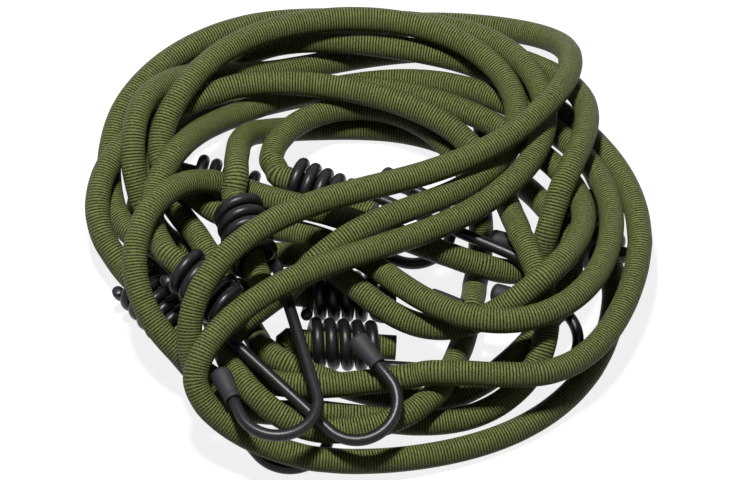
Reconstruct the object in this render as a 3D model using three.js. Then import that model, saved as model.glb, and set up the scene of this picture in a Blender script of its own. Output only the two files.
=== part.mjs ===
import * as THREE from 'three';

// A set of four bungee cords with wire hooks, lying in one loose tangled coil.
// Millimetres, +Z up. The pile stands on z = 0, its middle over the origin.

// Cord
const CORD_D = 8;
const CORD_SIDES = 8;
const CORD_FLAT_SHARE = 0.1;
const RING_SAG = 0.15;
const RING_SKIP = 3;
const SAMPLE = 3;
const CORD_GAP = 1.2;

// Hook wire, dipped in plastic, wound on the end of the cord
const WIRE_D = 3.8;
const WIRE_SIDES = 6;
const WIND_TURNS = 5;
const WIND_STEPS = 10;
const WIND_BACK_DEG = 40;
const WIND_GAP = 0.5;
const WIND_CLEAR = 0.6;
const SHANK = 46;
const BEND_R = 12.5;
const BEND_DEG = 172;
const BEND_STEPS = 12;
const BLEND_STEPS = 6;
const TIP_LEG = 6;
const CORD_POKE = 7;

// Rubber cap on the tip of the hook
const CAP_D = 6.8;
const CAP_L = 12;
const CAP_END = 2.5;
const CAP_CLEAR = 0.35;
const CAP_SIDES = 12;
const CAP_ROUND_STEPS = 3;

const CORD_R = CORD_D / 2;
const WIRE_R = WIRE_D / 2;
const CAP_R = CAP_D / 2;
const REST_Z = CORD_R * (1 - 2 * CORD_FLAT_SHARE);
const WIND_R = CORD_R + WIND_CLEAR + WIRE_R;
const WIND_PITCH = WIRE_D + WIND_GAP;
const WIND_L = WIND_TURNS * WIND_PITCH;
const LEAD = WIND_R;

const OLIVE = 0x4b5528;
const BLACK = 0x16171a;
const DARK_GREY = 0x26272a;

// Each hook: where its winding starts, its heading, how far its nose dips,
// and its roll. At zero roll the tip lies to the left of the heading.
const HOOKS = {
  '1a': { at: [-40, -13, 29], yaw: -75, dip: 0.5, roll: 180 },
  '1b': { at: [-73.5, -27.5, 9.8], yaw: -52, dip: 4.8, roll: 0 },
  '2a': { at: [-58, -35, 29], yaw: -45, dip: 5.5, roll: 14 },
  '2b': { at: [-18, -51.5, 10], yaw: -2, dip: 3.2, roll: 12 },
  '3a': { at: [78, -18, 9.6], yaw: 108, dip: 4, roll: 0 },
  '3b': { at: [-18, -33, 9.8], yaw: 0, dip: 4.1, roll: 21 },
  '4a': { at: [-22, 5, 19], yaw: -27, dip: 0.5, roll: 180 },
  '4b': { at: [-56, 13.5, 9.8], yaw: -18, dip: 4.4, roll: 10 },
};

// The cords' routes, chosen by hand from one hook's winding to the other's
const CORDS = [
  {
    name: 'cord_1', hooks: ['1a', '1b'], route: [
      [-46, 8, 26], [-42, 19, 20], [-34, 28, 13], [-24, 34, 9], [-8, 37, 6], [10, 37, 5],
      [25, 35, 6], [38, 28, 6], [48, 17, 5], [55, 6, 6], [61, -10, 10], [62, -24, 14],
      [59, -40, 14], [50, -54, 11], [36, -65, 6], [20, -70, 4], [2, -69, 5], [-12, -66, 8],
      [-24, -61, 11], [-36, -51, 12], [-45, -37, 11], [-51, -22, 12], [-57, -8, 10], [-63, 4, 8],
      [-70, 22, 14], [-68, 38, 16], [-58, 50, 14], [-44, 61, 10], [-26, 70, 9], [-6, 76, 9], [12, 80, 10],
      [27, 81, 12], [41, 80, 13], [52, 76, 14], [61, 69, 16], [67, 60, 18], [70, 52, 20],
      [70, 44, 21], [67, 36, 22], [62, 27, 24], [55, 19, 25], [46, 11, 27], [36, 3, 28],
      [24, -4, 29], [10, -11, 30], [-5, -18, 30], [-18, -23, 30], [-30, -28, 31], [-40, -34, 30],
      [-48, -42, 28], [-54, -52, 24], [-54, -63, 19], [-51, -69, 15], [-38, -76, 10],
      [-22, -78, 9], [-2, -78, 8], [18, -77, 4], [38, -71, 4], [50, -61, 10],
      [57, -47, 18], [58, -30, 18], [56, -16, 16], [52, -2, 13], [45, 12, 12], [34, 24, 14],
      [20, 31, 17], [4, 36, 19], [-12, 39, 20], [-30, 40, 20], [-46, 40, 20], [-60, 36, 19], [-71, 27, 18],
      [-77, 16, 15], [-80, 5, 12], [-80, -7, 9], [-78, -18, 9],
    ],
  },
  {
    name: 'cord_2', hooks: ['2a', '2b'], route: [
      [-65, -22, 22], [-66, -8, 21], [-64, 6, 20], [-61, 18, 20], [-54, 30, 20], [-42, 40, 14], [-26, 49, 12],
      [-12, 51, 11], [2, 50, 11], [14, 47, 11], [26, 43, 11], [38, 37, 12], [48, 31, 13],
      [58, 17, 14], [64, 4, 14], [68, -10, 16], [69, -22, 20], [66, -34, 20], [59, -46, 18],
      [46, -54, 14], [32, -57, 12], [18, -56, 11], [6, -50, 12], [-4, -44, 15], [-12, -38, 17],
      [-22, -26, 13], [-34, -15, 6], [-48, -9, 5], [-60, -4, 9], [-69, 8, 13], [-72, 20, 18], [-70, 32, 21],
      [-60, 42, 21], [-47, 49, 18], [-36, 57, 13], [-24, 64, 8], [-8, 67, 5], [8, 68, 5],
      [24, 66, 6], [40, 62, 8], [52, 57, 10], [60, 51, 12], [66, 43, 15], [71, 34, 18],
      [74, 23, 20], [75, 10, 20], [74, 0, 19], [70, -11, 18], [62, -20, 16], [52, -26, 13],
      [42, -29, 11], [31, -28, 11], [20, -24, 12], [11, -17, 13], [4, -12, 15],
      [-6, -6, 27], [-18, -3, 28], [-32, -2, 26], [-44, -3, 25], [-55, -8, 25], [-65, -14, 25],
      [-71, -23, 25], [-74, -34, 24], [-73, -46, 21], [-69, -57, 18], [-61, -66, 16],
      [-50, -70, 10], [-40, -65, 4], [-31, -56, 6],
    ],
  },
  {
    name: 'cord_3', hooks: ['3a', '3b'], route: [
      [79, -30, 8], [75, -44, 6], [66, -58, 5], [52, -71, 4], [34, -80, 4], [14, -84, 4],
      [-8, -84, 9], [-24, -84, 11], [-37, -83, 14], [-46, -77, 19], [-49, -68, 24], [-46, -60, 26],
      [-40, -55, 27], [-30, -47, 27], [-16, -38, 26], [0, -30, 25], [14, -24, 24], [27, -17, 23],
      [38, -10, 22], [48, -2, 22], [56, 7, 21], [61, 17, 20], [61, 27, 20], [58, 38, 20], [55, 47, 20],
      [49, 55, 20], [41, 63, 20], [30, 69, 20], [16, 72, 19], [0, 73, 17], [-16, 71, 15], [-32, 65, 13],
      [-48, 57, 14], [-62, 48, 20], [-74, 34, 20], [-77, 16, 14], [-74, 0, 8],
      [-66, -13, 10], [-57, -25, 11], [-50, -38, 9], [-44, -52, 6], [-37, -62, 6], [-28, -70, 10],
      [-14, -71, 15], [0, -70, 16], [14, -70, 15], [30, -73, 12], [44, -70, 12], [56, -65, 12], [66, -59, 13],
      [73, -51, 14], [78, -41, 15], [81, -30, 16], [82, -15, 16], [81, 0, 16], [78, 14, 16],
      [72, 28, 15], [63, 38, 14], [50, 45, 13], [35, 50, 12], [20, 54, 11], [4, 58, 11], [-12, 61, 12],
      [-26, 61, 13], [-40, 58, 13], [-53, 53, 12], [-62, 43, 12], [-66, 30, 10], [-68, 16, 7], [-66, 2, 5],
      [-60, -10, 4], [-51, -20, 4], [-41, -27, 4], [-31, -32, 6],
    ],
  },
  {
    name: 'cord_4', hooks: ['4a', '4b'], route: [
      [-29, 14, 18], [-32, 24, 16], [-28, 34, 14], [-14, 41, 12], [4, 42, 11], [20, 38, 10],
      [34, 28, 9], [42, 12, 9], [43, -4, 9], [41, -20, 10], [40, -38, 11], [37, -52, 13], [26, -66, 8],
      [8, -77, 12], [-12, -80, 15], [-30, -78, 15], [-42, -71, 17], [-49, -62, 21], [-49, -52, 21],
      [-46, -47, 23], [-40, -40, 24], [-30, -34, 24], [-18, -27, 24], [-4, -22, 24], [10, -17, 24],
      [22, -13, 24], [34, -7, 23], [44, 3, 22], [51, 15, 21], [53, 28, 20], [51, 40, 20],
      [45, 50, 20], [37, 58, 19], [26, 64, 18], [12, 67, 18], [-4, 67, 18], [-20, 64, 19],
      [-34, 59, 19], [-48, 52, 20], [-60, 42, 22], [-68, 28, 22], [-70, 14, 18], [-68, 0, 15],
      [-60, -10, 17], [-46, -12, 20], [-32, -12, 22], [-18, -22, 20], [-6, -34, 17],
      [8, -44, 17], [24, -52, 17], [40, -55, 17], [56, -52, 17], [67, -46, 17], [74, -36, 17],
      [77, -20, 17], [78, -4, 17], [76, 12, 16], [71, 26, 15], [62, 36, 14], [48, 44, 12],
      [32, 52, 10], [16, 57, 9], [0, 59, 6], [-16, 58, 6], [-32, 52, 8], [-46, 43, 12], [-60, 33, 13],
      [-67, 22, 11],
    ],
  },
];

// How the cords are pushed apart: places that lie within PUSH_MARGIN of touching are
// watched, runs drawn further apart than CROSS_RISE cross, a push is PUSH_MOST at most,
// and a free place sinks by SINK
const PUSH_ROUNDS = 30;
const APART_ROUNDS = 25;
const PUSH_STEPS = 20;
const PUSH_MARGIN = 2;
const CROSS_RISE = 3;
const PUSH_MOST = 1.5;
const SINK = 0.05;

function hookMatrix(hook) {
  const rad = THREE.MathUtils.degToRad;
  const turn = new THREE.Euler(rad(hook.roll), rad(hook.dip), rad(hook.yaw), 'ZYX');
  const frame = new THREE.Matrix4().makeRotationFromEuler(turn);
  return frame.setPosition(...hook.at);
}

// Centre line of a hook's wire in its own frame: X runs along the cord's axis
function hookWire() {
  const points = [];
  const back = THREE.MathUtils.degToRad(WIND_BACK_DEG);
  const total = WIND_TURNS * 2 * Math.PI - back;
  const steps = Math.round(total / (2 * Math.PI) * WIND_STEPS);
  for (let i = 0; i <= steps; i++) {
    const phi = -back - total + total * i / steps;
    const x = WIND_L * i / steps;
    points.push(new THREE.Vector3(x, -WIND_R * Math.cos(phi), -WIND_R * Math.sin(phi)));
  }
  const last = points[points.length - 1];
  const heading = last.clone().sub(points[points.length - 2]).normalize();
  const start = new THREE.Vector3(WIND_L + LEAD, -WIND_R, 0);
  const blend = new THREE.CubicBezierCurve3(
    last,
    last.clone().addScaledVector(heading, LEAD / 2),
    start.clone().setX(WIND_L + LEAD / 3),
    start,
  );
  points.push(...blend.getPoints(BLEND_STEPS).slice(1));
  const centre = new THREE.Vector3(WIND_L + LEAD + SHANK, BEND_R - WIND_R, 0);
  const bend = THREE.MathUtils.degToRad(BEND_DEG);
  for (let i = 0; i <= BEND_STEPS; i++) {
    const a = bend * i / BEND_STEPS - Math.PI / 2;
    points.push(new THREE.Vector3(
      centre.x + BEND_R * Math.cos(a), centre.y + BEND_R * Math.sin(a), 0));
  }
  const end = points[points.length - 1];
  const leg = new THREE.Vector3(Math.cos(bend), Math.sin(bend), 0);
  const capMouth = end.clone().addScaledVector(leg, TIP_LEG);
  points.push(end.clone().addScaledVector(leg, TIP_LEG + CAP_L - CAP_END - CAP_CLEAR));
  return { points, capMouth, leg };
}

// Closed tube round a centre line, its section turning as little as it can
function tube(points, radius, sides, turned) {
  const positions = [];
  const index = [];
  const side = new THREE.Vector3();
  const up = new THREE.Vector3(0, 0, 1);
  const tangent = new THREE.Vector3();
  let carried = null;
  points.forEach((p, i) => {
    const a = points[Math.max(i - 1, 0)];
    const b = points[Math.min(i + 1, points.length - 1)];
    tangent.subVectors(b, a).normalize();
    if (turned) {
      side.crossVectors(tangent, new THREE.Vector3(0, 0, 1)).normalize();
    } else {
      if (!carried) carried = new THREE.Vector3(0.31, 0.41, 0.86);
      side.copy(carried).addScaledVector(tangent, -carried.dot(tangent)).normalize();
      carried.copy(side);
    }
    up.crossVectors(side, tangent).normalize();
    for (let k = 0; k < sides; k++) {
      const t = 2 * Math.PI * (k + 0.5) / sides;
      const v = p.clone()
        .addScaledVector(side, radius * Math.cos(t))
        .addScaledVector(up, radius * Math.sin(t));
      positions.push(v.x, v.y, turned ? Math.max(v.z, 0) : v.z);
    }
  });
  const rings = points.length;
  for (let i = 0; i + 1 < rings; i++) {
    for (let k = 0; k < sides; k++) {
      const n = (k + 1) % sides;
      const a = i * sides + k;
      const b = i * sides + n;
      index.push(a, a + sides, b, b, a + sides, b + sides);
    }
  }
  for (let k = 1; k + 1 < sides; k++) {
    index.push(0, k, k + 1);
    const e = (rings - 1) * sides;
    index.push(e, e + k + 1, e + k);
  }
  const geometry = new THREE.BufferGeometry();
  geometry.setAttribute('position', new THREE.Float32BufferAttribute(positions, 3));
  geometry.setIndex(index);
  geometry.computeVertexNormals();
  return geometry;
}

// Blind cap, turned about its own axis, its mouth at zero
function capGeometry() {
  const bore = WIRE_R + CAP_CLEAR;
  const round = CAP_R / 2;
  const profile = [
    new THREE.Vector2(0, CAP_L - CAP_END),
    new THREE.Vector2(bore, CAP_L - CAP_END),
    new THREE.Vector2(bore, 0),
    new THREE.Vector2(CAP_R, 0),
  ];
  for (let i = 0; i <= CAP_ROUND_STEPS; i++) {
    const a = Math.PI / 2 * i / CAP_ROUND_STEPS;
    profile.push(new THREE.Vector2(
      CAP_R - round + round * Math.cos(a), CAP_L - round + round * Math.sin(a)));
  }
  profile.push(new THREE.Vector2(0, CAP_L));
  return new THREE.LatheGeometry(profile, CAP_SIDES);
}

// Places along a smooth curve through a cord's points, one every SAMPLE
function sampled(points) {
  const curve = new THREE.CatmullRomCurve3(points, false, 'centripetal');
  curve.arcLengthDivisions = points.length * 40;
  const count = Math.round(curve.getLength() / SAMPLE);
  return curve.getSpacedPoints(count);
}

// Fewer places where a line runs straight: none left out departs by more than RING_SAG
function thinned(line) {
  const kept = [line[0]];
  let from = 0;
  const chord = new THREE.Line3();
  const near = new THREE.Vector3();
  for (let i = 1; i + 1 < line.length; i++) {
    chord.set(line[from], line[i + 1]);
    let sag = 0;
    for (let k = from + 1; k <= i; k++) {
      sag = Math.max(sag, chord.closestPointToPoint(line[k], true, near).distanceTo(line[k]));
    }
    if (sag > RING_SAG || i - from >= RING_SKIP) {
      kept.push(line[i]);
      from = i;
    }
  }
  kept.push(line[line.length - 1]);
  return kept;
}

const wire = hookWire();
const TAIL_STEPS = Math.round((WIND_L + CORD_POKE) / SAMPLE);

// What the cords are pushed clear of: every cord's own places, and the hooks as they lie
const items = [];
CORDS.forEach((cord, c) => {
  const [first, last] = cord.hooks.map((key) => hookMatrix(HOOKS[key]));
  const lead = (frame, x) => new THREE.Vector3(x, 0, 0).applyMatrix4(frame);
  const middle = sampled([
    lead(first, 0), lead(first, -LEAD),
    ...cord.route.map((p) => new THREE.Vector3(...p)),
    lead(last, -LEAD), lead(last, 0),
  ]);
  const tail = (frame) => Array.from({ length: TAIL_STEPS },
    (_, i) => lead(frame, (WIND_L + CORD_POKE) * (i + 1) / TAIL_STEPS));
  const line = [...tail(first).reverse(), ...middle, ...tail(last)];
  line.forEach((p, i) => items.push({
    p, want: p.clone(), r: CORD_R, cord: c, i, n: line.length,
    fixed: i < TAIL_STEPS + 3 || i >= line.length - TAIL_STEPS - 3,
  }));
  cord.count = line.length;
});
const CORD_ITEMS = items.length;
CORDS.forEach((cord, c) => cord.hooks.forEach((key, end) => {
  const frame = hookMatrix(HOOKS[key]);
  const add = (x, y, z, r) => {
    const p = new THREE.Vector3(x, y, z).applyMatrix4(frame);
    items.push({ p, want: p, r, cord: c, end, hook: key, fixed: true });
  };
  for (let x = 0; x <= WIND_L + WIRE_D / 2; x += SAMPLE) add(x, 0, 0, WIND_R + WIRE_R);
  const rest = wire.points.slice(Math.round(WIND_TURNS * WIND_STEPS));
  for (let i = 0; i + 1 < rest.length; i++) {
    const a = rest[i];
    const b = rest[i + 1];
    const n = Math.ceil(a.distanceTo(b) / SAMPLE);
    for (let k = 0; k < n; k++) {
      const q = a.clone().lerp(b, k / n);
      add(q.x, q.y, q.z, i + 2 < rest.length ? WIRE_R : CAP_R);
    }
  }
  const capEnd = wire.capMouth.clone().addScaledVector(wire.leg, CAP_L - CAP_R);
  add(capEnd.x, capEnd.y, capEnd.z, CAP_R);
}));

function related(a, b) {
  if (a.cord !== b.cord) return false;
  if (!a.hook && !b.hook) return Math.abs(a.i - b.i) * SAMPLE < CORD_D * 3;
  if (a.hook && b.hook) return a.hook === b.hook;
  const cord = a.hook ? b : a;
  const hook = a.hook ? a : b;
  const along = hook.end === 0 ? cord.i : cord.n - 1 - cord.i;
  return (along - TAIL_STEPS) * SAMPLE < LEAD * 3;
}

// Cords are pushed apart until each lies clear: the one drawn higher passes over
function settle() {
  const reach = CORD_D * 2.5;
  for (let round = 0; round < PUSH_ROUNDS + APART_ROUNDS; round++) {
    const apart = round >= PUSH_ROUNDS;
    const pairs = [];
    for (let i = 0; i < CORD_ITEMS; i++) {
      const a = items[i];
      for (let j = i + 1; j < items.length; j++) {
        const b = items[j];
        if (a.fixed && b.fixed) continue;
        if (Math.abs(a.p.x - b.p.x) > reach || Math.abs(a.p.y - b.p.y) > reach) continue;
        const need = a.r + b.r + CORD_GAP;
        const flat = Math.hypot(a.p.x - b.p.x, a.p.y - b.p.y);
        if (flat > need + PUSH_MARGIN || related(a, b)) continue;
        pairs.push([a, b, need, Math.sign(a.want.z - b.want.z) || 1]);
      }
    }
    for (let step = 0; step < PUSH_STEPS; step++) {
      for (const a of items) {
        if (a.fixed) continue;
        if (!a.move) a.move = new THREE.Vector3();
        a.move.set(0, 0, 0);
        a.hits = 0;
      }
      for (const [a, b, need, over] of pairs) {
        let dx = a.p.x - b.p.x;
        let dy = a.p.y - b.p.y;
        let dz = a.p.z - b.p.z;
        const flat = Math.hypot(dx, dy);
        if (flat >= need) continue;
        const clear = Math.sqrt(need * need - flat * flat);
        if (!apart && dz * over >= clear) continue;
        const cross = !apart && Math.abs(a.want.z - b.want.z) > CROSS_RISE;
        let push;
        if (cross) {
          push = (clear - dz * over) / 2;
          dx *= 0.15;
          dy *= 0.15;
          dz = over * need;
        } else {
          push = (need - Math.hypot(flat, dz)) / 2;
          if (push <= 0) continue;
        }
        const size = Math.hypot(dx, dy, dz) || 1;
        push = Math.min(push, PUSH_MOST) / size;
        const share = a.fixed || b.fixed ? 2 : 1;
        if (!a.fixed) {
          a.move.x += dx * push * share;
          a.move.y += dy * push * share;
          a.move.z += dz * push * share;
          a.hits++;
        }
        if (!b.fixed) {
          b.move.x -= dx * push * share;
          b.move.y -= dy * push * share;
          b.move.z -= dz * push * share;
          b.hits++;
        }
      }
      let base = 0;
      for (const cord of CORDS) {
        for (let i = 0; i < cord.count; i++) {
          const a = items[base + i];
          if (a.fixed) continue;
          a.step = new THREE.Vector3();
          for (const k of [1, 3]) {
            const at = (d) => items[base + Math.min(Math.max(i + d, 0), cord.count - 1)].p;
            const smooth = at(-k).clone().add(at(k)).multiplyScalar(4)
              .sub(at(-2 * k)).sub(at(2 * k)).divideScalar(6);
            a.step.addScaledVector(smooth.sub(a.p), apart ? 0.15 : 0.3);
          }
        }
        base += cord.count;
      }
      for (const a of items) {
        if (a.fixed) continue;
        const n = Math.max(a.hits, 1) ** 0.6;
        a.p.x += a.move.x / n + a.step.x + (apart ? 0 : 0.01) * (a.want.x - a.p.x);
        a.p.y += a.move.y / n + a.step.y + (apart ? 0 : 0.01) * (a.want.y - a.p.y);
        a.p.z += a.move.z / n + a.step.z + (a.hits || apart ? 0 : -SINK);
        if (a.p.z < REST_Z) a.p.z = REST_Z;
      }
    }
  }
}
settle();

// The least gap between any two pieces, a hook's winding taken as a full sleeve
let least = Infinity;
for (let i = 0; i < items.length; i++) {
  for (let j = i + 1; j < items.length; j++) {
    const a = items[i];
    const b = items[j];
    if (!related(a, b)) least = Math.min(least, a.p.distanceTo(b.p) - a.r - b.r);
  }
}
console.log('least gap', least.toFixed(2));

const assembly = new THREE.Group();
const pile = new THREE.Group();
assembly.add(pile);
const material = (color, roughness, metalness) => (
  new THREE.MeshStandardMaterial({ color, roughness, metalness }));

let base = 0;
CORDS.forEach((cord) => {
  const line = items.slice(base, base + cord.count).map((a) => a.p);
  base += cord.count;
  const mesh = new THREE.Mesh(tube(thinned(line), CORD_R, CORD_SIDES, true), material(OLIVE, 0.7, 0));
  mesh.name = cord.name;
  pile.add(mesh);
  cord.hooks.forEach((key) => {
    const group = new THREE.Group();
    group.applyMatrix4(hookMatrix(HOOKS[key]));
    const hook = new THREE.Mesh(tube(wire.points, WIRE_R, WIRE_SIDES, false), material(BLACK, 0.35, 0));
    hook.name = `hook_${key}`;
    group.add(hook);
    const cap = new THREE.Mesh(capGeometry(), material(DARK_GREY, 0.6, 0));
    cap.name = `cap_${key}`;
    cap.position.copy(wire.capMouth);
    cap.quaternion.setFromUnitVectors(new THREE.Vector3(0, 1, 0), wire.leg);
    group.add(cap);
    pile.add(group);
  });
});

// The pile's middle stands over the origin
const box = new THREE.Box3().setFromObject(pile, true);
const middle = box.getCenter(new THREE.Vector3());
pile.position.set(-middle.x, -middle.y, -box.min.z);
assembly.updateMatrixWorld(true);

export default assembly;
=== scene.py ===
import math

import bmesh
import bpy
import numpy as np
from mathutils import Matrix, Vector


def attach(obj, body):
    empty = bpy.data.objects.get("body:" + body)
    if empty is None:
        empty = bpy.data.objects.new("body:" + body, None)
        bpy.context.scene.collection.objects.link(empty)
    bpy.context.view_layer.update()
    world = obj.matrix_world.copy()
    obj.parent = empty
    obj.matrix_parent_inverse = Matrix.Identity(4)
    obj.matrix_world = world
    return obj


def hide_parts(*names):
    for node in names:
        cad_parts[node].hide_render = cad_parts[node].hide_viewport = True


# Four bungee cords with coated wire hooks, lying in one loose tangle on a white
# surface. Everything is in metres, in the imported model's frame.
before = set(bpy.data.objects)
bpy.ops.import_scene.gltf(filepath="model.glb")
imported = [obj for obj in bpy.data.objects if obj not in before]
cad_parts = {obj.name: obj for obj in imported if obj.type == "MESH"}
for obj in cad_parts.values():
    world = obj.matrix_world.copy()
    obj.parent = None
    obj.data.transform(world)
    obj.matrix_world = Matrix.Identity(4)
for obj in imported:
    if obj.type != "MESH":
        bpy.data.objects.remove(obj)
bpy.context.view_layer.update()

# Cord
CORD_D = 0.008
CORD_SIDES = 20
CORD_FLAT_SHARE = 0.1
SAMPLE = 0.003
CORD_GAP = 0.0012
RING_STEP = 0.001
RIB_PITCH = 0.00095

# Hook wire: the pushing apart uses the coarse steps, the visible wire the fine ones
WIRE_D = 0.0038
WIRE_SIDES = 14
WIND_TURNS = 5
WIND_BACK_DEG = 40
COARSE_STEPS = (10, 6, 12)
FINE_STEPS = (36, 16, 40)
NOSE_SHARE = 0.3
NOSE_DEG = (80, 55, 28)
WIND_GAP = 0.0005
WIND_CLEAR = 0.0006
SHANK = 0.046
BEND_R = 0.0125
BEND_DEG = 172
TIP_LEG = 0.006
CORD_POKE = 0.007

# Rubber cap: its neck and dome are shares of its radius
CAP_D = 0.0068
CAP_L = 0.012
CAP_END = 0.0025
CAP_CLEAR = 0.00035
CAP_SIDES = 32
CAP_DOME_STEPS = 8
CAP_NECK_SHARE = 0.8
CAP_DOME_SHARE = 0.6
CAP_EDGE = 0.0002
CAP_HAIR = 0.0001
CAP_PIN = 0.00005
CAP_LIP_Z = 0.0011
CAP_GROOVE_Z = 0.0014
CAP_WAIST_Z = (0.003, 0.005, 0.008)
CAP_SWELL = 0.0003

CORD_R = CORD_D / 2
WIRE_R = WIRE_D / 2
CAP_R = CAP_D / 2
REST_Z = CORD_R * (1 - 2 * CORD_FLAT_SHARE)
WIND_R = CORD_R + WIND_CLEAR + WIRE_R
WIND_PITCH = WIRE_D + WIND_GAP
WIND_L = WIND_TURNS * WIND_PITCH
LEAD = WIND_R

# How the cords are pushed apart: places that lie within PUSH_MARGIN of touching are
# watched, runs drawn further apart than CROSS_RISE cross, a push is PUSH_MOST at most,
# and a free place sinks by SINK
PUSH_ROUNDS = 30
APART_ROUNDS = 25
PUSH_STEPS = 20
PUSH_MARGIN = 0.002
CROSS_RISE = 0.003
PUSH_MOST = 0.0015
SINK = 0.00005
CROSS_FLAT_SHARE = 0.15
CROWD_POWER = 0.6
EASE = 0.3
EASE_APART = 0.15
PULL_HOME = 0.01
REACH = CORD_D * 2.5
OWN_REACH = CORD_D * 3
JOINED_REACH = LEAD * 3
END_PLACES = 3
CURVE_DIVISIONS = 40

# Where the model's origin lies, seen from the origin that the routes use
SHIFT = np.array([-0.001668, 0.007937, 0.0])

# Each hook: where its winding starts, its heading, how far its nose dips, its roll
HOOKS = {
    '1a': ((-0.04, -0.013, 0.029), -75, 0.5, 180),
    '1b': ((-0.0735, -0.0275, 0.0098), -52, 4.8, 0),
    '2a': ((-0.058, -0.035, 0.029), -45, 5.5, 14),
    '2b': ((-0.018, -0.0515, 0.01), -2, 3.2, 12),
    '3a': ((0.078, -0.018, 0.0096), 108, 4, 0),
    '3b': ((-0.018, -0.033, 0.0098), 0, 4.1, 21),
    '4a': ((-0.022, 0.005, 0.019), -27, 0.5, 180),
    '4b': ((-0.056, 0.0135, 0.0098), -18, 4.4, 10),
}

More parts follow.
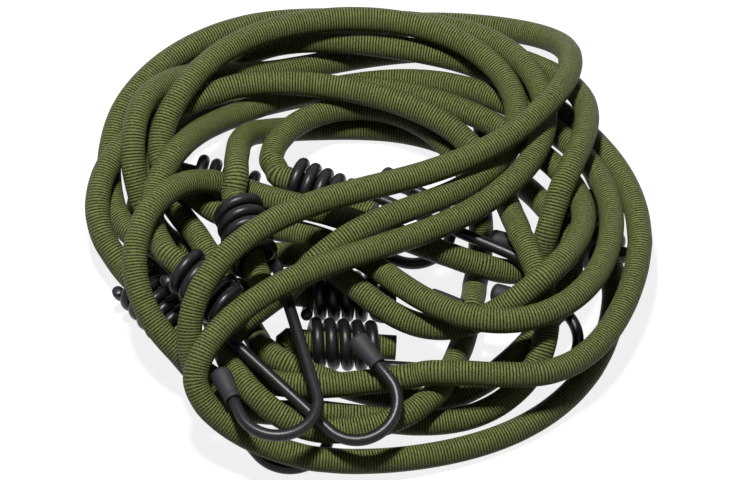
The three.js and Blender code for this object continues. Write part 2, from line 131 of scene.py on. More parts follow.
CORDS = {
    'cord_1': ('1a', '1b', [
        (-0.046, 0.008, 0.026), (-0.042, 0.019, 0.02), (-0.034, 0.028, 0.013), (-0.024, 0.034, 0.009),
        (-0.008, 0.037, 0.006), (0.01, 0.037, 0.005), (0.025, 0.035, 0.006), (0.038, 0.028, 0.006),
        (0.048, 0.017, 0.005), (0.055, 0.006, 0.006), (0.061, -0.01, 0.01), (0.062, -0.024, 0.014),
        (0.059, -0.04, 0.014), (0.05, -0.054, 0.011), (0.036, -0.065, 0.006), (0.02, -0.07, 0.004),
        (0.002, -0.069, 0.005), (-0.012, -0.066, 0.008), (-0.024, -0.061, 0.011), (-0.036, -0.051, 0.012),
        (-0.045, -0.037, 0.011), (-0.051, -0.022, 0.012), (-0.057, -0.008, 0.01), (-0.063, 0.004, 0.008),
        (-0.07, 0.022, 0.014), (-0.068, 0.038, 0.016), (-0.058, 0.05, 0.014), (-0.044, 0.061, 0.01),
        (-0.026, 0.07, 0.009), (-0.006, 0.076, 0.009), (0.012, 0.08, 0.01), (0.027, 0.081, 0.012),
        (0.041, 0.08, 0.013), (0.052, 0.076, 0.014), (0.061, 0.069, 0.016), (0.067, 0.06, 0.018),
        (0.07, 0.052, 0.02), (0.07, 0.044, 0.021), (0.067, 0.036, 0.022), (0.062, 0.027, 0.024),
        (0.055, 0.019, 0.025), (0.046, 0.011, 0.027), (0.036, 0.003, 0.028), (0.024, -0.004, 0.029),
        (0.01, -0.011, 0.03), (-0.005, -0.018, 0.03), (-0.018, -0.023, 0.03), (-0.03, -0.028, 0.031),
        (-0.04, -0.034, 0.03), (-0.048, -0.042, 0.028), (-0.054, -0.052, 0.024), (-0.054, -0.063, 0.019),
        (-0.051, -0.069, 0.015), (-0.038, -0.076, 0.01), (-0.022, -0.078, 0.009), (-0.002, -0.078, 0.008),
        (0.018, -0.077, 0.004), (0.038, -0.071, 0.004), (0.05, -0.061, 0.01), (0.057, -0.047, 0.018),
        (0.058, -0.03, 0.018), (0.056, -0.016, 0.016), (0.052, -0.002, 0.013), (0.045, 0.012, 0.012),
        (0.034, 0.024, 0.014), (0.02, 0.031, 0.017), (0.004, 0.036, 0.019), (-0.012, 0.039, 0.02),
        (-0.03, 0.04, 0.02), (-0.046, 0.04, 0.02), (-0.06, 0.036, 0.019), (-0.071, 0.027, 0.018),
        (-0.077, 0.016, 0.015), (-0.08, 0.005, 0.012), (-0.08, -0.007, 0.009), (-0.078, -0.018, 0.009),
    ]),
    'cord_2': ('2a', '2b', [
        (-0.065, -0.022, 0.022), (-0.066, -0.008, 0.021), (-0.064, 0.006, 0.02), (-0.061, 0.018, 0.02),
        (-0.054, 0.03, 0.02), (-0.042, 0.04, 0.014), (-0.026, 0.049, 0.012), (-0.012, 0.051, 0.011),
        (0.002, 0.05, 0.011), (0.014, 0.047, 0.011), (0.026, 0.043, 0.011), (0.038, 0.037, 0.012),
        (0.048, 0.031, 0.013), (0.058, 0.017, 0.014), (0.064, 0.004, 0.014), (0.068, -0.01, 0.016),
        (0.069, -0.022, 0.02), (0.066, -0.034, 0.02), (0.059, -0.046, 0.018), (0.046, -0.054, 0.014),
        (0.032, -0.057, 0.012), (0.018, -0.056, 0.011), (0.006, -0.05, 0.012), (-0.004, -0.044, 0.015),
        (-0.012, -0.038, 0.017), (-0.022, -0.026, 0.013), (-0.034, -0.015, 0.006), (-0.048, -0.009, 0.005),
        (-0.06, -0.004, 0.009), (-0.069, 0.008, 0.013), (-0.072, 0.02, 0.018), (-0.07, 0.032, 0.021),
        (-0.06, 0.042, 0.021), (-0.047, 0.049, 0.018), (-0.036, 0.057, 0.013), (-0.024, 0.064, 0.008),
        (-0.008, 0.067, 0.005), (0.008, 0.068, 0.005), (0.024, 0.066, 0.006), (0.04, 0.062, 0.008),
        (0.052, 0.057, 0.01), (0.06, 0.051, 0.012), (0.066, 0.043, 0.015), (0.071, 0.034, 0.018),
        (0.074, 0.023, 0.02), (0.075, 0.01, 0.02), (0.074, 0, 0.019), (0.07, -0.011, 0.018),
        (0.062, -0.02, 0.016), (0.052, -0.026, 0.013), (0.042, -0.029, 0.011), (0.031, -0.028, 0.011),
        (0.02, -0.024, 0.012), (0.011, -0.017, 0.013), (0.004, -0.012, 0.015), (-0.006, -0.006, 0.027),
        (-0.018, -0.003, 0.028), (-0.032, -0.002, 0.026), (-0.044, -0.003, 0.025), (-0.055, -0.008, 0.025),
        (-0.065, -0.014, 0.025), (-0.071, -0.023, 0.025), (-0.074, -0.034, 0.024), (-0.073, -0.046, 0.021),
        (-0.069, -0.057, 0.018), (-0.061, -0.066, 0.016), (-0.05, -0.07, 0.01), (-0.04, -0.065, 0.004),
        (-0.031, -0.056, 0.006),
    ]),
    'cord_3': ('3a', '3b', [
        (0.079, -0.03, 0.008), (0.075, -0.044, 0.006), (0.066, -0.058, 0.005), (0.052, -0.071, 0.004),
        (0.034, -0.08, 0.004), (0.014, -0.084, 0.004), (-0.008, -0.084, 0.009), (-0.024, -0.084, 0.011),
        (-0.037, -0.083, 0.014), (-0.046, -0.077, 0.019), (-0.049, -0.068, 0.024), (-0.046, -0.06, 0.026),
        (-0.04, -0.055, 0.027), (-0.03, -0.047, 0.027), (-0.016, -0.038, 0.026), (0, -0.03, 0.025),
        (0.014, -0.024, 0.024), (0.027, -0.017, 0.023), (0.038, -0.01, 0.022), (0.048, -0.002, 0.022),
        (0.056, 0.007, 0.021), (0.061, 0.017, 0.02), (0.061, 0.027, 0.02), (0.058, 0.038, 0.02),
        (0.055, 0.047, 0.02), (0.049, 0.055, 0.02), (0.041, 0.063, 0.02), (0.03, 0.069, 0.02),
        (0.016, 0.072, 0.019), (0, 0.073, 0.017), (-0.016, 0.071, 0.015), (-0.032, 0.065, 0.013),
        (-0.048, 0.057, 0.014), (-0.062, 0.048, 0.02), (-0.074, 0.034, 0.02), (-0.077, 0.016, 0.014),
        (-0.074, 0, 0.008), (-0.066, -0.013, 0.01), (-0.057, -0.025, 0.011), (-0.05, -0.038, 0.009),
        (-0.044, -0.052, 0.006), (-0.037, -0.062, 0.006), (-0.028, -0.07, 0.01), (-0.014, -0.071, 0.015),
        (0, -0.07, 0.016), (0.014, -0.07, 0.015), (0.03, -0.073, 0.012), (0.044, -0.07, 0.012),
        (0.056, -0.065, 0.012), (0.066, -0.059, 0.013), (0.073, -0.051, 0.014), (0.078, -0.041, 0.015),
        (0.081, -0.03, 0.016), (0.082, -0.015, 0.016), (0.081, 0, 0.016), (0.078, 0.014, 0.016),
        (0.072, 0.028, 0.015), (0.063, 0.038, 0.014), (0.05, 0.045, 0.013), (0.035, 0.05, 0.012),
        (0.02, 0.054, 0.011), (0.004, 0.058, 0.011), (-0.012, 0.061, 0.012), (-0.026, 0.061, 0.013),
        (-0.04, 0.058, 0.013), (-0.053, 0.053, 0.012), (-0.062, 0.043, 0.012), (-0.066, 0.03, 0.01),
        (-0.068, 0.016, 0.007), (-0.066, 0.002, 0.005), (-0.06, -0.01, 0.004), (-0.051, -0.02, 0.004),
        (-0.041, -0.027, 0.004), (-0.031, -0.032, 0.006),
    ]),
    'cord_4': ('4a', '4b', [
        (-0.029, 0.014, 0.018), (-0.032, 0.024, 0.016), (-0.028, 0.034, 0.014), (-0.014, 0.041, 0.012),
        (0.004, 0.042, 0.011), (0.02, 0.038, 0.01), (0.034, 0.028, 0.009), (0.042, 0.012, 0.009),
        (0.043, -0.004, 0.009), (0.041, -0.02, 0.01), (0.04, -0.038, 0.011), (0.037, -0.052, 0.013),
        (0.026, -0.066, 0.008), (0.008, -0.077, 0.012), (-0.012, -0.08, 0.015), (-0.03, -0.078, 0.015),
        (-0.042, -0.071, 0.017), (-0.049, -0.062, 0.021), (-0.049, -0.052, 0.021), (-0.046, -0.047, 0.023),
        (-0.04, -0.04, 0.024), (-0.03, -0.034, 0.024), (-0.018, -0.027, 0.024), (-0.004, -0.022, 0.024),
        (0.01, -0.017, 0.024), (0.022, -0.013, 0.024), (0.034, -0.007, 0.023), (0.044, 0.003, 0.022),
        (0.051, 0.015, 0.021), (0.053, 0.028, 0.02), (0.051, 0.04, 0.02), (0.045, 0.05, 0.02),
        (0.037, 0.058, 0.019), (0.026, 0.064, 0.018), (0.012, 0.067, 0.018), (-0.004, 0.067, 0.018),
        (-0.02, 0.064, 0.019), (-0.034, 0.059, 0.019), (-0.048, 0.052, 0.02), (-0.06, 0.042, 0.022),
        (-0.068, 0.028, 0.022), (-0.07, 0.014, 0.018), (-0.068, 0, 0.015), (-0.06, -0.01, 0.017),
        (-0.046, -0.012, 0.02), (-0.032, -0.012, 0.022), (-0.018, -0.022, 0.02), (-0.006, -0.034, 0.017),
        (0.008, -0.044, 0.017), (0.024, -0.052, 0.017), (0.04, -0.055, 0.017), (0.056, -0.052, 0.017),
        (0.067, -0.046, 0.017), (0.074, -0.036, 0.017), (0.077, -0.02, 0.017), (0.078, -0.004, 0.017),
        (0.076, 0.012, 0.016), (0.071, 0.026, 0.015), (0.062, 0.036, 0.014), (0.048, 0.044, 0.012),
        (0.032, 0.052, 0.01), (0.016, 0.057, 0.009), (0, 0.059, 0.006), (-0.016, 0.058, 0.006),
        (-0.032, 0.052, 0.008), (-0.046, 0.043, 0.012), (-0.06, 0.033, 0.013), (-0.067, 0.022, 0.011),
    ]),
}

# Camera first: about 55 degrees above the surface, through a long lens
ELEVATION = math.radians(55)
DISTANCE = 1.7
FRAME_WIDTH = 0.2375
toward = Vector((0, -math.cos(ELEVATION), math.sin(ELEVATION)))
AIM_OFFSET = Vector((0.0006, -0.0032, -0.0022))
SENSOR = 36
CLIP_END = 20
aim = Vector(SHIFT.tolist()) + AIM_OFFSET
camera_data = bpy.data.cameras.new("camera")
camera_data.sensor_width = SENSOR
camera_data.lens = SENSOR * DISTANCE / FRAME_WIDTH
camera_data.clip_end = CLIP_END
camera = bpy.data.objects.new("camera", camera_data)
camera.location = aim + toward * DISTANCE
camera.rotation_euler = (math.radians(90) - ELEVATION, 0, 0)
bpy.context.scene.collection.objects.link(camera)
bpy.context.scene.camera = camera


# A cord's places: one smooth curve through its points, read at even steps
def smooth_curve(points, step):
    pts = np.asarray(points, float)
    first = 2 * pts[0] - pts[1]
    last = 2 * pts[-1] - pts[-2]
    p = np.vstack([first, pts, last])
    spans = len(pts) - 1
    divisions = len(pts) * CURVE_DIVISIONS
    t = np.linspace(0, spans, divisions + 1)

    def at(values):
        i = np.minimum(values.astype(int), spans - 1)
        w = (values - i)[:, None]
        p0, p1, p2, p3 = p[i], p[i + 1], p[i + 2], p[i + 3]
        d0 = (np.sum((p1 - p0) ** 2, axis=1) ** 0.25)[:, None]
        d1 = (np.sum((p2 - p1) ** 2, axis=1) ** 0.25)[:, None]
        d2 = (np.sum((p3 - p2) ** 2, axis=1) ** 0.25)[:, None]
        t1 = ((p1 - p0) / d0 - (p2 - p0) / (d0 + d1) + (p2 - p1) / d1) * d1
        t2 = ((p2 - p1) / d1 - (p3 - p1) / (d1 + d2) + (p3 - p2) / d2) * d1
        c2 = -3 * p1 + 3 * p2 - 2 * t1 - t2
        c3 = 2 * p1 - 2 * p2 + t1 + t2
        return p1 + t1 * w + c2 * w ** 2 + c3 * w ** 3

    fine = at(t)
    run = np.concatenate([[0], np.cumsum(np.linalg.norm(np.diff(fine, axis=0), axis=1))])
    count = int(math.floor(run[-1] / step + 0.5))
    return at(np.interp(np.linspace(0, run[-1], count + 1), run, t))


# A hook's turn and place, as the rows of a matrix and a point
def hook_frame(key):
    at, yaw, dip, roll = HOOKS[key]
    y, d, r = (math.radians(v) for v in (yaw, dip, roll))
    turn_z = np.array([[math.cos(y), -math.sin(y), 0], [math.sin(y), math.cos(y), 0], [0, 0, 1]])
    turn_y = np.array([[math.cos(d), 0, math.sin(d)], [0, 1, 0], [-math.sin(d), 0, math.cos(d)]])
    turn_x = np.array([[1, 0, 0], [0, math.cos(r), -math.sin(r)], [0, math.sin(r), math.cos(r)]])
    return turn_z @ turn_y @ turn_x, np.array(at)


# Points in a hook's own frame, brought to where the hook lies
def placed(key, points):
    turn, at = hook_frame(key)
    return np.asarray(points, float) @ turn.T + at


# Centre line of a hook's wire in its own frame: X runs along the cord's axis
def hook_wire(steps_of):
    turn_steps, blend_steps, bend_steps = steps_of
    back = math.radians(WIND_BACK_DEG)
    total = WIND_TURNS * 2 * math.pi - back
    steps = int(math.floor(total / (2 * math.pi) * turn_steps + 0.5))
    points = []
    for i in range(steps + 1):
        phi = -back - total + total * i / steps
        points.append(np.array([
            WIND_L * i / steps, -WIND_R * math.cos(phi), -WIND_R * math.sin(phi)]))
    last = points[-1]
    heading = last - points[-2]
    heading = heading / np.linalg.norm(heading)
    start = np.array([WIND_L + LEAD, -WIND_R, 0.0])
    one = last + heading * LEAD / 2
    two = np.array([WIND_L + LEAD / 3, -WIND_R, 0.0])
    for i in range(1, blend_steps + 1):
        t = i / blend_steps
        s = 1 - t
        points.append(s ** 3 * last + 3 * s * s * t * one + 3 * s * t * t * two + t ** 3 * start)
    centre_x = WIND_L + LEAD + SHANK
    centre_y = BEND_R - WIND_R
    bend = math.radians(BEND_DEG)
    for i in range(bend_steps + 1):
        a = bend * i / bend_steps - math.pi / 2
        points.append(np.array([
            centre_x + BEND_R * math.cos(a), centre_y + BEND_R * math.sin(a), 0.0]))
    leg = np.array([math.cos(bend), math.sin(bend), 0.0])
    mouth = points[-1] + leg * TIP_LEG
    points.append(points[-1] + leg * (TIP_LEG + CAP_L - CAP_END - CAP_CLEAR))
    return np.array(points), mouth, leg


# A point on the axis of a hook's winding
def on_axis(key, x):
    return placed(key, [(x, 0, 0)])[0]


# The cords' own places and then the hooks as they lie, each a ball: its place and radius,
# its cord's number, its number along that cord and how many that cord has, its hook's
# number or -1, and that hook's end of the cord
def start_places():
    tail_steps = int(math.floor((WIND_L + CORD_POKE) / SAMPLE + 0.5))
    wire, mouth, leg = hook_wire(COARSE_STEPS)
    reach = [(WIND_L + CORD_POKE) * (i + 1) / tail_steps for i in range(tail_steps)]
    rows = []
    spans = []
    for c, (first, last, route) in enumerate(CORDS.values()):
        line = [on_axis(first, x) for x in reversed(reach)]
        line += list(smooth_curve([
            on_axis(first, 0), on_axis(first, -LEAD), *route,
            on_axis(last, -LEAD), on_axis(last, 0)], SAMPLE))
        line += [on_axis(last, x) for x in reach]
        spans.append((len(rows), len(rows) + len(line)))
        rows += [(p, CORD_R, c, i, len(line), -1, 0) for i, p in enumerate(line)]
    rest = wire[WIND_TURNS * COARSE_STEPS[0]:]
    number = 0
    for c, (first, last, _) in enumerate(CORDS.values()):
        for e, key in enumerate((first, last)):
            local = []
            x = 0.0
            while x <= WIND_L + WIRE_D / 2:
                local.append(((x, 0, 0), WIND_R + WIRE_R))
                x += SAMPLE
            for i in range(len(rest) - 1):
                n = math.ceil(np.linalg.norm(rest[i + 1] - rest[i]) / SAMPLE)
                for k in range(n):
                    q = rest[i] + (rest[i + 1] - rest[i]) * k / n
                    local.append((q, WIRE_R if i + 2 < len(rest) else CAP_R))
            local.append((mouth + leg * (CAP_L - CAP_R), CAP_R))
            rows += [(placed(key, [q])[0], r, c, 0, 0, number, e) for q, r in local]
            number += 1
    return [np.array(column) for column in zip(*rows)], spans, tail_steps


# How far each place of a line moves towards the smooth curve of its neighbours
def eased(line, share):
    own = np.arange(len(line))
    total = np.zeros_like(line)
    for k in (1, 3):
        near_a, near_b, far_a, far_b = (
            line[np.clip(own + d, 0, len(line) - 1)] for d in (-k, k, -2 * k, 2 * k))
        smooth = (4 * (near_a + near_b) - far_a - far_b) / 6
        total += (smooth - line) * share
    return total


# Cords are pushed apart until each lies clear: the one drawn higher passes over
def settled_lines():
    (p, r, cord, index, count, hook, end), spans, tail_steps = start_places()
    cord_items = spans[-1][1]
    want = p.copy()
    held = tail_steps + END_PLACES
    near_end = (index < held) | (index >= count - held)
    fixed = (hook >= 0) | near_end
    free = ~fixed
    upper_i, upper_j = np.triu_indices(len(p), 1)
    keep = (upper_i < cord_items) & ~(fixed[upper_i] & fixed[upper_j])
    i_all, j_all = upper_i[keep], upper_j[keep]
    same = cord[i_all] == cord[j_all]
    a_hook, b_hook = hook[i_all], hook[j_all]
    both = (a_hook < 0) & (b_hook < 0)
    close = np.abs(index[i_all] - index[j_all]) * SAMPLE < OWN_REACH
    along = np.where(end[j_all] == 0, index[i_all], count[i_all] - 1 - index[i_all])
    joined = (along - tail_steps) * SAMPLE < JOINED_REACH
    related = same & np.where(both, close, joined)
    i_all, j_all = i_all[~related], j_all[~related]
    need_all = r[i_all] + r[j_all] + CORD_GAP
    over_all = np.sign(want[i_all, 2] - want[j_all, 2])
    over_all[over_all == 0] = 1
    cross_all = np.abs(want[i_all, 2] - want[j_all, 2]) > CROSS_RISE
    for push_round in range(PUSH_ROUNDS + APART_ROUNDS):
        apart = push_round >= PUSH_ROUNDS
        dx = p[i_all, 0] - p[j_all, 0]
        dy = p[i_all, 1] - p[j_all, 1]
        pick = (np.abs(dx) <= REACH) & (np.abs(dy) <= REACH)
        pick &= np.hypot(dx, dy) <= need_all + PUSH_MARGIN
        i, j, need = i_all[pick], j_all[pick], need_all[pick]
        over, cross = over_all[pick], cross_all[pick] & (not apart)
        share = np.where(fixed[i] | fixed[j], 2.0, 1.0)
        for _ in range(PUSH_STEPS):
            d = p[i] - p[j]
            flat = np.hypot(d[:, 0], d[:, 1])
            inside = flat < need
            clear = np.sqrt(np.maximum(need * need - flat * flat, 0))
            if not apart:
                inside &= d[:, 2] * over < clear
            push = np.where(
                cross, (clear - d[:, 2] * over) / 2, (need - np.hypot(flat, d[:, 2])) / 2)
            inside &= push > 0
            d[cross, :2] *= CROSS_FLAT_SHARE
            d[cross, 2] = (over * need)[cross]
            size = np.linalg.norm(d, axis=1)
            size[size == 0] = 1
            push = np.minimum(push, PUSH_MOST) / size
            force = d * (push * share)[:, None]
            force[~inside] = 0
            move = np.zeros_like(p)
            for k in range(3):
                move[:, k] += np.bincount(i, force[:, k], len(p))
                move[:, k] -= np.bincount(j, force[:, k], len(p))
            hits = np.bincount(i[inside], minlength=len(p))
            hits = hits + np.bincount(j[inside], minlength=len(p))
            ease = np.zeros_like(p)
            for lo, hi in spans:
                ease[lo:hi] = eased(p[lo:hi], EASE_APART if apart else EASE)
            change = move / (np.maximum(hits, 1) ** CROWD_POWER)[:, None] + ease
            if not apart:
                change[:, :2] += PULL_HOME * (want[:, :2] - p[:, :2])
                change[:, 2] -= np.where(hits > 0, 0, SINK)
            p[free] += change[free]
            p[free, 2] = np.maximum(p[free, 2], REST_Z)
    return [p[lo:hi] + SHIFT for lo, hi in spans]


# An object of closed rings, with a cap at each end. Given the run along it, the run
# and the turn are kept as a UV map
def skinned(name, ring_places, run=None):
    mesh = bpy.data.meshes.new(name)
    work = bmesh.new()
    rings = [[work.verts.new(v) for v in ring] for ring in ring_places]
    sides = len(rings[0])
    uv = None
    if run is not None:
        uv = work.loops.layers.uv.new("along")
    for i in range(len(rings) - 1):
        for k in range(sides):
            m = (k + 1) % sides
            face = work.faces.new((rings[i][k], rings[i + 1][k], rings[i + 1][m], rings[i][m]))
            face.smooth = True
            if uv is None:
                continue
            corners = ((run[i], k), (run[i + 1], k), (run[i + 1], k + 1), (run[i], k + 1))
            for loop, (u, v) in zip(face.loops, corners):
                loop[uv].uv = (u, v / sides)
    work.faces.new(rings[0])
    work.faces.new(list(reversed(rings[-1])))
    bmesh.ops.recalc_face_normals(work, faces=work.faces)
    work.to_mesh(mesh)
    work.free()
    piece = bpy.data.objects.new(name, mesh)
    bpy.context.scene.collection.objects.link(piece)
    return piece


# Tube round a line, and its length. An upright tube's section never rolls; the other
# kind's turns as little as it can
def tube_mesh(name, line, radii, sides, upright, floor=None):
    n = len(line)
    tangent = np.gradient(line, axis=0)
    tangent /= np.linalg.norm(tangent, axis=1)[:, None]
    side = np.zeros_like(line)
    if upright:
        side = np.cross(tangent, (0, 0, 1))
        side /= np.linalg.norm(side, axis=1)[:, None]
    else:
        carried = np.array([0.31, 0.41, 0.86])
        for i in range(n):
            carried = carried - tangent[i] * (carried @ tangent[i])
            carried /= np.linalg.norm(carried)
            side[i] = carried
    up = np.cross(side, tangent)
    run = np.concatenate([[0], np.cumsum(np.linalg.norm(np.diff(line, axis=0), axis=1))])
    rings = []
    for i in range(n):
        ring = []
        for k in range(sides):
            a = 2 * math.pi * k / sides
            v = line[i] + (side[i] * math.cos(a) + up[i] * math.sin(a)) * radii[i]
            if floor is not None:
                v[2] = max(v[2], floor)
            ring.append(v)
        rings.append(ring)
    return skinned(name, rings, run), float(run[-1])


# A line with both ends drawn in to a rounded nose, and its radii
def rounded(line, radius, nose):
    head = line[0] - line[1]
    tail = line[-1] - line[-2]
    head /= np.linalg.norm(head)
    tail /= np.linalg.norm(tail)
    angles = [math.radians(a) for a in NOSE_DEG]
    before = [line[0] + head * nose * math.sin(a) for a in angles]
    after = [line[-1] + tail * nose * math.sin(a) for a in reversed(angles)]
    drawn = [radius * math.cos(a) for a in angles]
    radii = drawn + [radius] * len(line) + drawn[::-1]
    return np.vstack([before, line, after]), np.array(radii)


# Moulded cap: a lip at its mouth, a faint waist and a domed end
def cap_mesh(name, key, mouth, leg):
    bore = WIRE_R + CAP_CLEAR / 2
    neck = CAP_R * CAP_NECK_SHARE
    dome = CAP_R * CAP_DOME_SHARE
    low, middle, high = CAP_WAIST_Z
    profile = [
        (CAP_HAIR, CAP_L - CAP_END),
        (bore, CAP_L - CAP_END),
        (bore, CAP_EDGE),
        (bore + CAP_EDGE, 0),
        (neck - CAP_EDGE, 0),
        (neck, CAP_EDGE),
        (neck + CAP_HAIR, CAP_LIP_Z),
        (neck - CAP_HAIR, CAP_GROOVE_Z),
        (neck + CAP_HAIR, low),
        (neck + CAP_SWELL, middle),
        (CAP_R - CAP_HAIR, high),
        (CAP_R, CAP_L - dome),
    ]
    for i in range(1, CAP_DOME_STEPS + 1):
        a = math.pi / 2 * i / CAP_DOME_STEPS
        radius = max(CAP_R * math.cos(a), CAP_PIN)
        profile.append((radius, CAP_L - dome + dome * math.sin(a)))
    turn, at = hook_frame(key)
    across = np.cross(leg, (0, 0, 1))
    rings = []
    for radius, along in profile:
        ring = []
        for k in range(CAP_SIDES):
            a = 2 * math.pi * k / CAP_SIDES
            local = mouth + leg * along
            local = local + (across * math.cos(a) + np.array([0, 0, 1]) * math.sin(a)) * radius
            ring.append(turn @ local + at + SHIFT)
        rings.append(ring)
    return skinned(name, rings)


def new_material(name):
    mat = bpy.data.materials.new(name)
    mat.use_nodes = True
    nodes = mat.node_tree.nodes
    nodes.clear()
    out = nodes.new("ShaderNodeOutputMaterial")
    shader = nodes.new("ShaderNodeBsdfPrincipled")
    mat.node_tree.links.new(shader.outputs[0], out.inputs[0])
    return mat, nodes, mat.node_tree.links, shader


def math_node(nodes, links, kind, *values):
    node = nodes.new("ShaderNodeMath")
    node.operation = kind
    for k, v in enumerate(values):
        if isinstance(v, (int, float)):
            node.inputs[k].default_value = v
        else:
            links.new(v, node.inputs[k])
    return node.outputs[0]


def noise(nodes, scale, detail):
    node = nodes.new("ShaderNodeTexNoise")
    node.inputs["Scale"].default_value = scale
    node.inputs["Detail"].default_value = detail
    return node.outputs["Fac"]


# Colours along a scale from 0 to 1: the stops are places and colours, in order
def colour_ramp(nodes, links, value, stops):
    node = nodes.new("ShaderNodeValToRGB")
    elements = node.color_ramp.elements
    while len(elements) < len(stops):
        elements.new(0.5)
    for element, (position, colour) in zip(elements, stops):
        element.position = position
        element.color = (*colour, 1)
    links.new(value, node.inputs[0])
    return node.outputs[0]


def add_bump(nodes, links, shader, height, strength, distance):
    node = nodes.new("ShaderNodeBump")
    node.inputs["Strength"].default_value = strength
    node.inputs["Distance"].default_value = distance
    links.new(height, node.inputs["Height"])
    links.new(node.outputs[0], shader.inputs["Normal"])


# One where the camera, a reflection or a see-through piece looks at the backdrop
def shown(nodes, links, rays):
    mirrored = math_node(nodes, links, "MAXIMUM", rays.outputs["Is Camera Ray"],
                         rays.outputs["Is Glossy Ray"])
    return math_node(nodes, links, "MAXIMUM", mirrored, rays.outputs["Is Transmission Ray"])


# Cover: fine yarns laid across the cord, olive on their tops, with painted shade darkening the grooves
# between them. Lengths are in metres, noise scales per metre
YARN_WANDER = 0.0007
YARN_WANDER_SCALE = 260
YARN_ROUND_POWER = 0.8
FIBRE_SCALE = 1900
PATCH_SCALE = 70
# Shares of the colour scale: the rib's share paints shade into the grooves between yarns, the fibres' and
# patches' shares vary the tone at random
GROOVE_SHADE_AND_TONE_SHARES = (0.62, 0.22, 0.16)
# Colour stops: the near-black low end is painted shade in the grooves, the olive high end is the yarn's
# own colour
YARN_AND_GROOVE_SHADE_STOPS = (
    (0.05, (0.0035, 0.0045, 0.0015)),
    (0.45, (0.013, 0.016, 0.005)),
    (0.85, (0.110, 0.126, 0.042)),
)
COVER_ROUGH = (0.33, 0.22)
COVER_SPECULAR = 0.12
COVER_SPECULAR_TINT = (0.78, 0.9, 0.45, 1)
COVER_FIBRE_RELIEF = 0.3
COVER_BUMP = (0.85, 0.0004)


def cover_material():
    mat, nodes, links, shader = new_material("olive_cover")
    uv = nodes.new("ShaderNodeUVMap")
    uv.uv_map = "along"
    split = nodes.new("ShaderNodeSeparateXYZ")
    links.new(uv.outputs[0], split.inputs[0])
    along, around = split.outputs[0], split.outputs[1]
    wander = noise(nodes, YARN_WANDER_SCALE, 2)
    rise = math_node(nodes, links, "MULTIPLY", wander, YARN_WANDER)
    slant = math_node(nodes, links, "MULTIPLY", around, RIB_PITCH)
    place = math_node(nodes, links, "ADD", math_node(nodes, links, "ADD", along, rise), slant)
    turns = math_node(nodes, links, "MULTIPLY", place, 1 / RIB_PITCH)
    tooth = math_node(nodes, links, "FRACT", turns)
    half_turn = math_node(nodes, links, "MULTIPLY", tooth, math.pi)
    round_top = math_node(nodes, links, "SINE", half_turn)
    rib = math_node(nodes, links, "POWER", round_top, YARN_ROUND_POWER)
    fibres = noise(nodes, FIBRE_SCALE, 3)
    patches = noise(nodes, PATCH_SCALE, 2)
    # Base colour: the rib's share is painted shade in the grooves between yarns; fibres and patches are
    # tone that differs at random
    groove_shade, by_fibre, by_patch = (
        math_node(nodes, links, "MULTIPLY", value, share)
        for value, share in zip((rib, fibres, patches), GROOVE_SHADE_AND_TONE_SHARES))
    shade = math_node(nodes, links, "ADD", groove_shade, by_fibre)
    shade = math_node(nodes, links, "ADD", shade, by_patch)
    links.new(colour_ramp(nodes, links, shade, YARN_AND_GROOVE_SHADE_STOPS), shader.inputs["Base Color"])
    rough, rough_fibre = COVER_ROUGH
    uneven = math_node(nodes, links, "MULTIPLY", fibres, rough_fibre)
    links.new(math_node(nodes, links, "ADD", rough, uneven), shader.inputs["Roughness"])
    shader.inputs["Specular IOR Level"].default_value = COVER_SPECULAR
    shader.inputs["Specular Tint"].default_value = COVER_SPECULAR_TINT
    fibre_relief = math_node(nodes, links, "MULTIPLY", fibres, COVER_FIBRE_RELIEF)
    relief = math_node(nodes, links, "ADD", rib, fibre_relief)
    add_bump(nodes, links, shader, relief, *COVER_BUMP)
    return mat


# Smooth black or grey skin: mottled in colour and gloss by one noise, uneven by another
def skin_material(name, mottle_noise, relief_noise, stops, rough, specular, bump):
    mat, nodes, links, shader = new_material(name)
    mottle = noise(nodes, *mottle_noise)
    links.new(colour_ramp(nodes, links, mottle, stops), shader.inputs["Base Color"])
    uneven = math_node(nodes, links, "MULTIPLY", mottle, rough[1])
    links.new(math_node(nodes, links, "ADD", rough[0], uneven), shader.inputs["Roughness"])
    shader.inputs["Specular IOR Level"].default_value = specular
    add_bump(nodes, links, shader, noise(nodes, *relief_noise), *bump)
    return mat


cover = cover_material()

# Dipped coating: satin black, with a faint orange-peel skin and rubbed places
coating = skin_material(
    "black_coating", mottle_noise=(90, 4), relief_noise=(420, 2),
    stops=((0.35, (0.003, 0.003, 0.0035)), (0.75, (0.009, 0.009, 0.010))),
    rough=(0.2, 0.22), specular=0.22, bump=(0.35, 0.00008))

# Cap rubber: dark grey, matt, finely grained
cap_rubber = skin_material(
    "cap_rubber", mottle_noise=(1500, 3), relief_noise=(1500, 3),
    stops=((0, (0.008, 0.008, 0.009)), (1, (0.018, 0.018, 0.020))),
    rough=(0.5, 0.25), specular=0.25, bump=(0.4, 0.00006))

# Cords
for name, line in zip(CORDS, settled_lines()):
    fine = smooth_curve(line, RING_STEP)
    piece, length = tube_mesh(
        f"{name}_cover", fine, np.full(len(fine), CORD_R), CORD_SIDES, True, 0.0)
    piece.data.materials.append(cover)
    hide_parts(name)
    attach(piece, "cords")

# Hooks and caps
wire, mouth, leg = hook_wire(FINE_STEPS)
for key in HOOKS:
    line, radii = rounded(placed(key, wire) + SHIFT, WIRE_R, WIRE_R * NOSE_SHARE)
    piece, _ = tube_mesh(f"hook_{key}_wire", line, radii, WIRE_SIDES, False)
    piece.data.materials.append(coating)
    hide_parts(f"hook_{key}")
    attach(piece, f"hook_{key}")
    cap = cap_mesh(f"cap_{key}_tip", key, mouth, leg)
    cap.data.materials.append(cap_rubber)
    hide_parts(f"cap_{key}")
    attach(cap, f"hook_{key}")

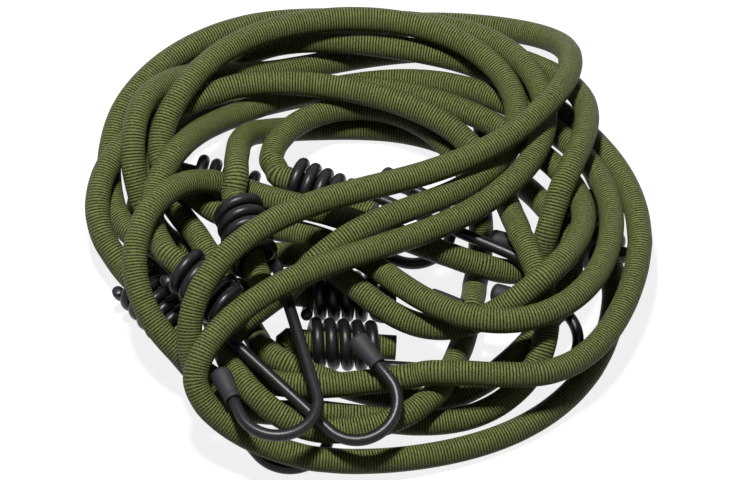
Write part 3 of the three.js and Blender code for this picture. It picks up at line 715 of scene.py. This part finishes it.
# Floor: white to the camera and in reflections, and it keeps the pile's shadow
FLOOR_HALF = 3.0
FLOOR_Z = -0.0002
FLOOR_ROUGH = 0.9
FLOOR_UNSEEN = (0.04, 0.04, 0.04, 1)
FLOOR_SEEN = (0.95, 0.95, 0.95, 1)
FLOOR_WHITE_SHARE = 0.86
floor_mesh = bpy.data.meshes.new("floor")
floor_mesh.from_pydata([
    (-FLOOR_HALF, -FLOOR_HALF, 0),
    (FLOOR_HALF, -FLOOR_HALF, 0),
    (FLOOR_HALF, FLOOR_HALF, 0),
    (-FLOOR_HALF, FLOOR_HALF, 0),
], [], [(0, 1, 2, 3)])
floor = bpy.data.objects.new("floor", floor_mesh)
floor.location.z = FLOOR_Z
bpy.context.scene.collection.objects.link(floor)
floor_mat, nodes, links, shader = new_material("floor_white")
shader.inputs["Roughness"].default_value = FLOOR_ROUGH
seen = shown(nodes, links, nodes.new("ShaderNodeLightPath"))
level = nodes.new("ShaderNodeMixRGB")
level.inputs[1].default_value = FLOOR_UNSEEN
level.inputs[2].default_value = FLOOR_SEEN
links.new(seen, level.inputs[0])
links.new(level.outputs[0], shader.inputs["Base Color"])
white = nodes.new("ShaderNodeEmission")
white.inputs["Strength"].default_value = 1
mix = nodes.new("ShaderNodeMixShader")
links.new(math_node(nodes, links, "MULTIPLY", seen, FLOOR_WHITE_SHARE), mix.inputs[0])
links.new(shader.outputs[0], mix.inputs[1])
links.new(white.outputs[0], mix.inputs[2])
links.new(mix.outputs[0], nodes["Material Output"].inputs[0])
floor.data.materials.append(floor_mat)

# World: white where it is seen, and a faint even light on the object
WORLD_LIGHT = 0.02
world = bpy.data.worlds.new("world")
bpy.context.scene.world = world
world.use_nodes = True
tree = world.node_tree
tree.nodes.clear()
world_out = tree.nodes.new("ShaderNodeOutputWorld")
pick = tree.nodes.new("ShaderNodeMixShader")
rays = tree.nodes.new("ShaderNodeLightPath")
tree.links.new(shown(tree.nodes, tree.links, rays), pick.inputs[0])
for k, strength in enumerate((WORLD_LIGHT, 1)):
    background = tree.nodes.new("ShaderNodeBackground")
    background.inputs[0].default_value = (1, 1, 1, 1)
    background.inputs[1].default_value = strength
    tree.links.new(background.outputs[0], pick.inputs[k + 1])
tree.links.new(pick.outputs[0], world_out.inputs[0])


# Lamps: a small one above, for the dark sides and clear ridges of the cords, and a
# weak broad one in front
LAMPS = {
    "key": ((-0.08, 0.0, 1.0), 0.12, 21),
    "front": ((0.5, -0.7, 0.8), 0.4, 0.4),
}
for name, (place, size, power) in LAMPS.items():
    data = bpy.data.lights.new(name, "AREA")
    data.size = size
    data.energy = power
    lamp = bpy.data.objects.new(name, data)
    lamp.location = place
    lamp.rotation_euler = (aim - Vector(place)).to_track_quat("-Z", "Y").to_euler()
    bpy.context.scene.collection.objects.link(lamp)

bpy.context.scene.view_settings.view_transform = "Standard"
